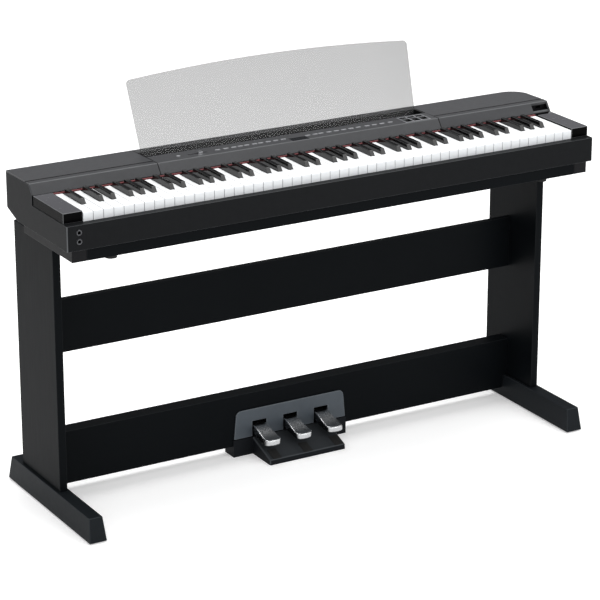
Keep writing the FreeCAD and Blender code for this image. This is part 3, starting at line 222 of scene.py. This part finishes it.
# painted highlight on the foot moulding's rounded edges
foot_look.edge_highlight((0.030, 0.034, 0.038), 0.97, 0.86)
black_plain = satin_plastic("black_moulding", (0.005, 0.005, 0.006), 0.5, 0.10)
bracket_look = satin_plastic("bracket_paint", (0.005, 0.005, 0.006), 0.45, 0.1)

laminate = Look("black_laminate", (0.0030, 0.0038, 0.0046), 0.42, 0.03)
laminate.mottle(5, 0.06, (1, 12, 1)).vary(14, 0.03, (1, 20, 1)).bump(420, 0.02, 0.0002, (1, 14, 1), 4.0)
# painted highlight on the laminate's rounded edges
laminate.edge_highlight((0.012, 0.0135, 0.015))

rubber = Look("black_rubber", (0.012, 0.012, 0.012), 0.8, 0.3).mottle(60, 0.2).bump(1800, 0.3, 0.0003)

white_key = Look("white_key", (0.83, 0.84, 0.85), 0.24, 0.4).mottle(9, 0.012).vary(60, 0.04)
white_key.bump(1400, 0.03, 0.0002)
# painted shade: the key fronts laid slightly darker and cooler
white_key.tone(white_key.span(white_key.normal()[4], 1.0, 0.0, -0.95, -0.6), (0.80, 0.82, 0.84))
# painted shade: the key sides laid much darker, where they face each other
white_key.tone(white_key.span(white_key.normal()[0], 0.0, 1.0, 0.5, 0.9), (0.55, 0.56, 0.58))

black_key = Look("black_key", (0.0030, 0.0030, 0.0030), 0.12, 0.42)
black_key.mottle(30, 0.15).vary(120, 0.03).bump(2200, 0.05, 0.0002, (1, 0.15, 1))
# painted highlight on the black keys' rounded edges
black_key.edge_highlight((0.075, 0.075, 0.075), 0.96, 0.80)

felt = Look("red_felt", (0.11, 0.006, 0.009), 0.95, 0.1)
felt.put("Sheen Weight", 0.2)
felt.put("Sheen Roughness", 0.6)
felt.mottle(900, 0.35).bump(1500, 0.6, 0.0006)

silver = Look("satin_silver", (0.55, 0.56, 0.58), 0.30, 0.5, 1.0)
silver.mottle(40, 0.05, (30, 1, 1)).vary(300, 0.06, (1, 20, 1))
silver_frame = Look("silver_rim", (0.45, 0.46, 0.48), 0.30, 0.5, 0.6).mottle(40, 0.05)
silver_frame.vary(300, 0.05)
# painted shade: the frame turns near-black below the panel's top, inside the slot
silver_frame.tone(silver_frame.span(silver_frame.place()[2], 1.0, 0.0, top_z - 0.0006, top_z + 0.0002),
                  (0.004, 0.004, 0.004))
# painted shade: the lining's near-black stands for the shade in the recess
recess_shade_look = Look("recess_shade_lining", (0.0020, 0.0020, 0.0022), 0.8, 0.01).mottle(300, 0.2)
ring_look = Look("jack_ring_dark", (0.085, 0.087, 0.092), 0.28, 0.5, 1.0).mottle(200, 0.1).vary(300, 0.05)
steel = Look("zinc_steel", (0.46, 0.46, 0.47), 0.34, 0.5, 1.0).mottle(90, 0.12).vary(200, 0.08)
button_look = Look("button_grey", (0.24, 0.245, 0.255), 0.34, 0.5)
button_look.mottle(50, 0.08).bump(2600, 0.08, 0.0001)

pedal_look = Look("pedal_satin_metal", (0.27, 0.28, 0.29), 0.26, 0.5, 1.0)
pedal_look.mottle(25, 0.04).vary(60, 0.02)
# painted shade: the pedals' sides laid dark
pedal_look.tone(pedal_look.span(pedal_look.normal()[0], 0.0, 1.0, 0.80, 0.97), (0.10, 0.103, 0.108))
# painted light: the pedals' front faces laid lighter
pedal_look.tone(pedal_look.span(pedal_look.normal()[4], 1.0, 0.0, -0.80, -0.40), (0.55, 0.56, 0.57))
# painted highlight: a bright band on the pedals' rounded edges, between their sides and their tops
upward = pedal_look.normal()[5]
pedal_rim_highlight = pedal_look.both(pedal_look.span(upward, 0.0, 1.0, 0.20, 0.45),
                            pedal_look.span(upward, 1.0, 0.0, 0.90, 0.985), "MINIMUM")
pedal_look.tone(pedal_rim_highlight, (0.80, 0.81, 0.82))

window_look = Look("display_black", (0.010, 0.011, 0.013), 0.10, 0.5).mottle(20, 0.2).vary(60, 0.03)
circuit = Look("circuit_green", (0.02, 0.11, 0.05), 0.45, 0.5).mottle(120, 0.3).bump(700, 0.2, 0.0003)
cone_look = Look("paper_cone", (0.02, 0.02, 0.02), 0.9, 0.2).mottle(200, 0.3).bump(900, 0.4, 0.0004)

rest_look = Look("clear_rest", (0.020, 0.021, 0.022), 0.10, 0.25)
rest_look.put("Alpha", 0.36)
rest_look.mottle(3, 0.04).vary(12, 0.03)
rest_look.mat.surface_render_method = "BLENDED"

laminated = ["left_leg_panel", "right_leg_panel", "upper_cross_board", "lower_cross_board",
             "bottom_board"]
by_node = {
    "left_foot": foot_look, "right_foot": foot_look,
    "foot_pads": rubber, "rubber_feet": rubber, "heel_grip_pads": rubber, "board_locks": steel,
    "leg_brackets": bracket_look, "mounting_knobs": black_plain, "pedal_base": base_dark,
    "pedal_cover": cover_blue, "pedal_axle": steel, "pedal_springs": steel, "lower_case": case_rail,
    "bottom_end_caps": black_plain, "case_screws": steel, "left_cheek_block": cheek_look,
    "right_cheek_block": cheek_look, "left_front_panel": case_top, "right_front_panel": case_top,
    "left_speaker_cover": case_top, "right_speaker_cover": case_top, "control_panel": panel_look,
    "display_window": window_look, "slider_frame": silver_frame, "low_tone_knob": silver,
    "mid_tone_knob": silver, "high_tone_knob": silver, "power_button": button_look,
    "volume_slider_knob": silver, "panel_buttons": button_look, "key_frame": black_plain,
    "key_pivot_rod": steel, "key_contact_board": circuit, "key_felt": felt, "headphone_jacks": black_plain,
    "usb_port": black_plain, "rear_jack_panel": black_plain, "loudspeakers": cone_look,
    "main_circuit_board": circuit, "music_rest": rest_look, "left_pedal": pedal_look,
    "middle_pedal": pedal_look, "right_pedal": pedal_look,
}
for name in laminated:
    by_node[name] = laminate
for name in nodes:
    if name.startswith("keys_"):
        by_node[name] = black_key if name.endswith("sharp") else white_key


# ------------------------------------------------------------ softened edges on the CAD nodes
EDGE_ANGLE = math.radians(35.0)
FLAT_ANGLE = math.radians(0.5)
WELD_DISTANCE = 0.00001

# how wide each node's edges are rounded, in metres, and in how many steps
edges = {
    "left_foot": (0.0018, 3), "right_foot": (0.0018, 3),
    "left_cheek_block": (0.0016, 3), "right_cheek_block": (0.0016, 3),
    "pedal_base": (0.0012, 2), "pedal_cover": (0.0012, 2),
    "lower_case": (0.0012, 2), "bottom_end_caps": (0.0012, 2),
    "left_front_panel": (0.0006, 2), "right_front_panel": (0.0006, 2),
    "left_speaker_cover": (0.0006, 2), "right_speaker_cover": (0.0006, 2),
}
for name in laminated:
    edges[name] = (0.0009, 2)
for name in nodes:
    if name.startswith("keys_"):
        edges[name] = (0.0009, 3) if name.endswith("_sharp") else (0.0007, 2)


def soften(node, width, segments):
    """Joins the faces that lie flat together, then rounds the sharp edges."""
    weld = node.modifiers.new("weld", "WELD")
    weld.merge_threshold = WELD_DISTANCE
    flat = node.modifiers.new("flat", "DECIMATE")
    flat.decimate_type = "DISSOLVE"
    flat.angle_limit = FLAT_ANGLE
    bevel = node.modifiers.new("bevel", "BEVEL")
    bevel.width = width
    bevel.segments = segments
    bevel.limit_method = "ANGLE"
    bevel.angle_limit = EDGE_ANGLE
    bevel.use_clamp_overlap = True
    bevel.harden_normals = False


def cast_metal(node):
    """Rounds a pedal all over, as a cast and polished one is."""
    cast = node.modifiers.new("cast", "REMESH")
    cast.mode = "VOXEL"
    cast.voxel_size = 0.0012
    cast.use_smooth_shade = True
    smooth = node.modifiers.new("smooth", "SMOOTH")
    smooth.factor = 0.5
    smooth.iterations = 18


for name, node in nodes.items():
    for slot in node.material_slots:
        slot.material = by_node[name].mat
    if name in edges:
        soften(node, *edges[name])
    elif name.endswith("_pedal"):
        cast_metal(node)


# ------------------------------------------------------------ small fittings
def piece_from(name, build, look, body, smooth=True):
    """A mesh object made by a bmesh builder, riding on a body."""
    mesh = bpy.data.meshes.new(name)
    shape = bmesh.new()
    build(shape)
    bmesh.ops.recalc_face_normals(shape, faces=shape.faces)
    shape.to_mesh(mesh)
    shape.free()
    for face in mesh.polygons:
        face.use_smooth = smooth
    made = bpy.data.objects.new(name, mesh)
    bpy.context.scene.collection.objects.link(made)
    mesh.materials.append(look.mat)
    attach(made, body)
    return made


def ring(shape, centre, radius, profile, steps=32):
    """A turned ring about the Y axis, from (radius offset, Y offset) points."""
    loops = []
    for step in range(steps):
        angle = 2 * math.pi * step / steps
        loops.append([shape.verts.new((centre[0] + (radius + out) * math.cos(angle), centre[1] + along,
                                       centre[2] + (radius + out) * math.sin(angle)))
                      for out, along in profile])
    for step in range(steps):
        near, far = loops[step], loops[(step + 1) % steps]
        for order in range(len(profile)):
            after = (order + 1) % len(profile)
            shape.faces.new((near[order], near[after], far[after], far[order]))


jack_low, jack_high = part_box("headphone_jacks")
jack_x = (jack_low[0] + jack_high[0]) / 2
jack_radius = (jack_high[0] - jack_low[0]) / 2
RING_RADIUS = 0.0048
ring_y = jack_low[1] + 0.0002
ring_profile = [(-0.0012, 0.0004), (-0.0010, -0.0005), (-0.0004, -0.0009), (0.0006, -0.0009),
                (0.0012, -0.0004), (0.0014, 0.0004)]
for order, jack_z in enumerate((jack_high[2] - jack_radius, jack_low[2] + jack_radius)):
    nut = piece_from("jack_ring_%d" % (order + 1),
                     lambda shape: ring(shape, (jack_x, ring_y, jack_z), RING_RADIUS, ring_profile),
                     ring_look, "piano")


def liner(shape):
    """A thin black lining of the recess, ribbed in front of the rest's foot: part rubber strip, part
    painted shade, a dark sheet laid where the recess is in shade.
    """
    ribs, half_width, skin = 7, 0.3480, 0.00006
    low_y, high_y, rear_y = recess_y + 0.0015, recess_y + 0.0300, recess_y + 0.0416
    base, crest = recess_z + 0.0001, recess_z + 0.0011
    crest_from, crest_to, foot_at = 0.25, 0.60, 0.85
    pitch = (high_y - low_y) / ribs
    points = [(recess_y + 0.0002, top_z - 0.0005), (recess_y + 0.0002, base)]
    for order in range(ribs):
        start = low_y + order * pitch
        points += [(start, base), (start + crest_from * pitch, crest),
                   (start + crest_to * pitch, crest), (start + foot_at * pitch, base)]
    points += [(high_y, base), (rear_y, base), (rear_y, top_z - 0.0035)]
    rows = []
    for offset in (0.0, -skin):
        for x in (-half_width, half_width):
            rows.append([shape.verts.new((x, y, z + offset)) for y, z in points])
    for low, high in ((0, 1), (2, 3), (0, 2), (1, 3)):
        for order in range(len(points) - 1):
            shape.faces.new((rows[low][order], rows[low][order + 1], rows[high][order + 1],
                             rows[high][order]))
    for order in (0, -1):
        shape.faces.new((rows[0][order], rows[1][order], rows[3][order], rows[2][order]))


strip = piece_from("recess_shade_liner", liner, recess_shade_look, "piano", smooth=False)


# ------------------------------------------------------------ camera, floor and light
# the camera fitted to the photograph: its lens in pixels, its place, its tilt and its turn
FOCAL_PIXELS, IMAGE_PIXELS = 2638.11, 600.0
CAMERA_PLACE = (-2.80817, -4.82339, 2.35022)
CAMERA_TILT, CAMERA_TURN = 0.34033, -0.52668
FLOOR_HALF = 30

bpy.context.scene.view_settings.view_transform = "Standard"
camera_data = bpy.data.cameras.new("camera")
camera = bpy.data.objects.new("camera", camera_data)
bpy.context.scene.collection.objects.link(camera)
camera_data.sensor_width = 36.0
camera_data.lens = FOCAL_PIXELS * 36.0 / IMAGE_PIXELS
camera.location = CAMERA_PLACE
camera.rotation_euler = (math.pi / 2 - CAMERA_TILT, 0.0, CAMERA_TURN)
camera_data.clip_end = 200.0
bpy.context.scene.camera = camera

floor_mesh = bpy.data.meshes.new("floor")
floor_mesh.from_pydata([(-FLOOR_HALF, -FLOOR_HALF, 0), (FLOOR_HALF, -FLOOR_HALF, 0),
                        (FLOOR_HALF, FLOOR_HALF, 0), (-FLOOR_HALF, FLOOR_HALF, 0)], [], [(0, 1, 2, 3)])
floor = bpy.data.objects.new("floor", floor_mesh)
bpy.context.scene.collection.objects.link(floor)
floor_look = Look("pale_floor", (0.93, 0.93, 0.93), 0.9, 0.1).mottle(2, 0.005)
floor_look.put("Emission Color", (1.0, 1.0, 1.0, 1.0))
floor_look.put("Emission Strength", 0.32)
floor_mesh.materials.append(floor_look.mat)

world = bpy.data.worlds.new("studio")
world.use_nodes = True
bpy.context.scene.world = world
sky = world.node_tree
toward = sky.nodes.new("ShaderNodeTexCoord")
axes = sky.nodes.new("ShaderNodeSeparateXYZ")
sky.links.new(toward.outputs["Generated"], axes.inputs["Vector"])


def fade(source, start, end):
    """Zero to one between two values of one axis of the sky's direction."""
    node = sky.nodes.new("ShaderNodeMapRange")
    node.inputs["From Min"].default_value = start
    node.inputs["From Max"].default_value = end
    sky.links.new(axes.outputs[source], node.inputs["Value"])
    return node.outputs["Result"]


def times(a, b):
    """The product of two factors."""
    node = sky.nodes.new("ShaderNodeMath")
    node.operation = "MULTIPLY"
    sky.links.new(a, node.inputs[0])
    sky.links.new(b, node.inputs[1])
    return node.outputs[0]


# a white studio with a dark backdrop standing behind the object, above the horizon
backdrop = times(times(fade("Y", 0.05, 0.40), fade("Z", 0.10, 0.17)), fade("Z", 0.78, 0.60))
blend = sky.nodes.new("ShaderNodeMix")
blend.data_type = "RGBA"
sky.links.new(backdrop, blend.inputs[0])
blend.inputs[6].default_value = (1.0, 1.0, 1.0, 1.0)
blend.inputs[7].default_value = (0.10, 0.10, 0.105, 1.0)
sky.links.new(blend.outputs[2], sky.nodes["Background"].inputs["Color"])
sky.nodes["Background"].inputs["Strength"].default_value = 1.0


def softbox(name, place, aim, size, power):
    """A rectangular area light aimed at a point."""
    data = bpy.data.lights.new(name, "AREA")
    data.shape = "RECTANGLE"
    data.size, data.size_y = size
    data.energy = power
    lamp = bpy.data.objects.new(name, data)
    lamp.location = place
    lamp.rotation_euler = (Vector(aim) - Vector(place)).to_track_quat("-Z", "Y").to_euler()
    bpy.context.scene.collection.objects.link(lamp)


softbox("overhead", (0.3, 0.4, 3.6), (0, 0, 0.6), (3.4, 2.2), 100)
softbox("front", (1.8, -4.0, 2.6), (0, 0, 0.5), (2.0, 1.4), 30)

bpy.context.view_layer.update()
